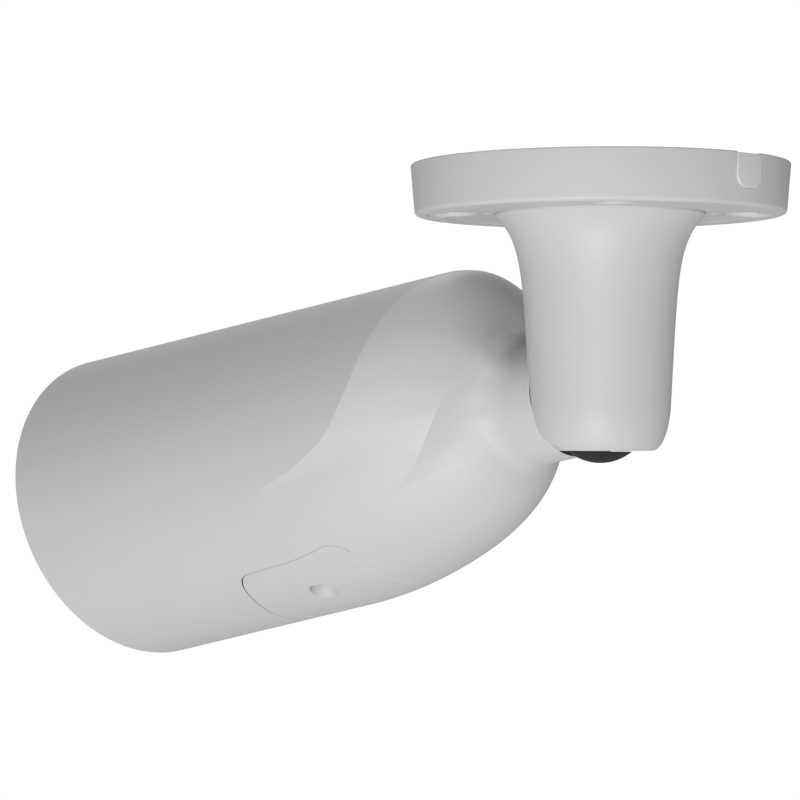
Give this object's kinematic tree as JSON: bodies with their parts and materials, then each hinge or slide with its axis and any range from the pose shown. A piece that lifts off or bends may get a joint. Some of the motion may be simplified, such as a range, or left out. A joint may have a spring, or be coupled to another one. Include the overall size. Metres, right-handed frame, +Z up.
{
  "type": "security camera",
  "caption": "Ceiling-mounted bullet security camera with a tapered body, a hollow arm on a round flange, a ball joint and an access door underneath.",
  "frame": {"origin": "centre of the flange's ceiling face", "axes": "+Z up into the ceiling, -Y the way the camera looks (10 degrees down at rest), X across"},
  "size_m": [0.11, 0.2787, 0.1521],
  "materials": {
    "painted_shell": "fine matt light grey powder coat",
    "grey_plastic": "moulded pale grey, uncoated",
    "black_plastic": "moulded matt black",
    "rubber": "moulded matt",
    "nylon": "natural, turned",
    "steel": "turned stainless",
    "aluminium": "milled",
    "glass": "polished, coated",
    "circuit_board": "solder resist",
    "chip": "moulded",
    "led_lens": "clear moulded"
  },
  "bodies": {
    "mount": {"mounting_flange": "painted_shell", "ceiling_seal": "rubber", "conduit_plug": "grey_plastic", "pan_retaining_ring": "aluminium", "ring_screw_1": "steel", "ring_screw_2": "steel", "ring_screw_3": "steel"},
    "pan_screw_a": {"pan_set_screw_1": "steel"},
    "pan_screw_b": {"pan_set_screw_2": "steel"},
    "arm": {"neck_arm": "painted_shell", "ball_seat": "nylon", "friction_pad": "nylon", "cable_grommet": "rubber"},
    "lock": {"lock_screw": "steel"},
    "lock_cap": {"lock_screw_cap": "rubber"},
    "knuckle": {"ball_stud": "steel", "roll_nut": "steel"},
    "camera": {"main_housing": "painted_shell", "front_bezel": "black_plastic", "bezel_screw_1": "steel", "bezel_screw_2": "steel", "bezel_screw_3": "steel", "window_glass": "glass", "window_seal": "rubber", "lens_baffle": "rubber", "led_board": "circuit_board", "led_1": "led_lens", "led_2": "led_lens", "led_3": "led_lens", "led_4": "led_lens", "led_5": "led_lens", "led_6": "led_lens", "lens_barrel": "black_plastic", "front_lens": "glass", "rear_lens": "glass", "lens_mount": "black_plastic", "sensor_board": "circuit_board", "image_sensor": "chip", "chassis": "aluminium", "main_board": "circuit_board", "power_board": "circuit_board", "heat_sink": "aluminium", "network_socket": "black_plastic", "card_slot": "steel", "reset_switch": "black_plastic"},
    "door": {"access_door": "painted_shell", "door_screw_1": "painted_shell", "door_screw_2": "painted_shell"},
    "focus": {"focus_ring": "black_plastic"},
    "zoom": {"zoom_ring": "black_plastic"},
    "filter": {"ir_cut_filter": "glass"},
    "card": {"memory_card": "chip"},
    "reset": {"reset_button": "rubber"}
  },
  "joints": [
    {"name": "pan", "type": "hinge", "parent": "mount", "child": "arm", "pos_m": [0, 0, -0.0082], "axis": [0, 0, 1], "range_deg": [-175, 175]},
    {"name": "tilt", "type": "hinge", "parent": "arm", "child": "knuckle", "pos_m": [0, 0, -0.0658], "axis": [-1, 0, 0], "range_deg": [-25, 10]},
    {"name": "roll", "type": "hinge", "parent": "knuckle", "child": "camera", "pos_m": [0, -0.02954, -0.07101], "axis": [0, -0.9848, -0.1736], "range_deg": [-90, 90]},
    {"name": "lock_screw_turn", "type": "hinge", "parent": "arm", "child": "lock", "pos_m": [0, 0, -0.0835], "axis": [0, 0, -1], "range_deg": [0, 360]},
    {"name": "lock_cap_pull", "type": "slide", "parent": "arm", "child": "lock_cap", "axis": [0, 0, -1], "range_m": [0, 0.012]},
    {"name": "pan_screw_a_turn", "type": "hinge", "parent": "mount", "child": "pan_screw_a", "pos_m": [0.02334, -0.02334, -0.012], "axis": [0, 0, -1], "range_deg": [0, 360]},
    {"name": "pan_screw_b_turn", "type": "hinge", "parent": "mount", "child": "pan_screw_b", "pos_m": [-0.02334, 0.02334, -0.012], "axis": [0, 0, -1], "range_deg": [0, 360]},
    {"name": "door_remove", "type": "slide", "parent": "camera", "child": "door", "axis": [0, 0.1736, -0.9848], "range_m": [0, 0.03]},
    {"name": "focus_turn", "type": "hinge", "parent": "camera", "child": "focus", "pos_m": [0, -0.16939, -0.09567], "axis": [0, -0.9848, -0.1736], "range_deg": [-45, 45]},
    {"name": "zoom_turn", "type": "hinge", "parent": "camera", "child": "zoom", "pos_m": [0, -0.15363, -0.09289], "axis": [0, -0.9848, -0.1736], "range_deg": [-45, 45]},
    {"name": "filter_shift", "type": "slide", "parent": "camera", "child": "filter", "axis": [1, 0, 0], "range_m": [0, 0.009]},
    {"name": "card_eject", "type": "slide", "parent": "camera", "child": "card", "axis": [0, -0.9848, -0.1736], "range_m": [0, 0.012]},
    {"name": "reset_press", "type": "slide", "parent": "camera", "child": "reset", "axis": [0, -0.1736, 0.9848], "range_m": [0, 0.0006], "stiffness_N_per_m": 400}
  ]
}
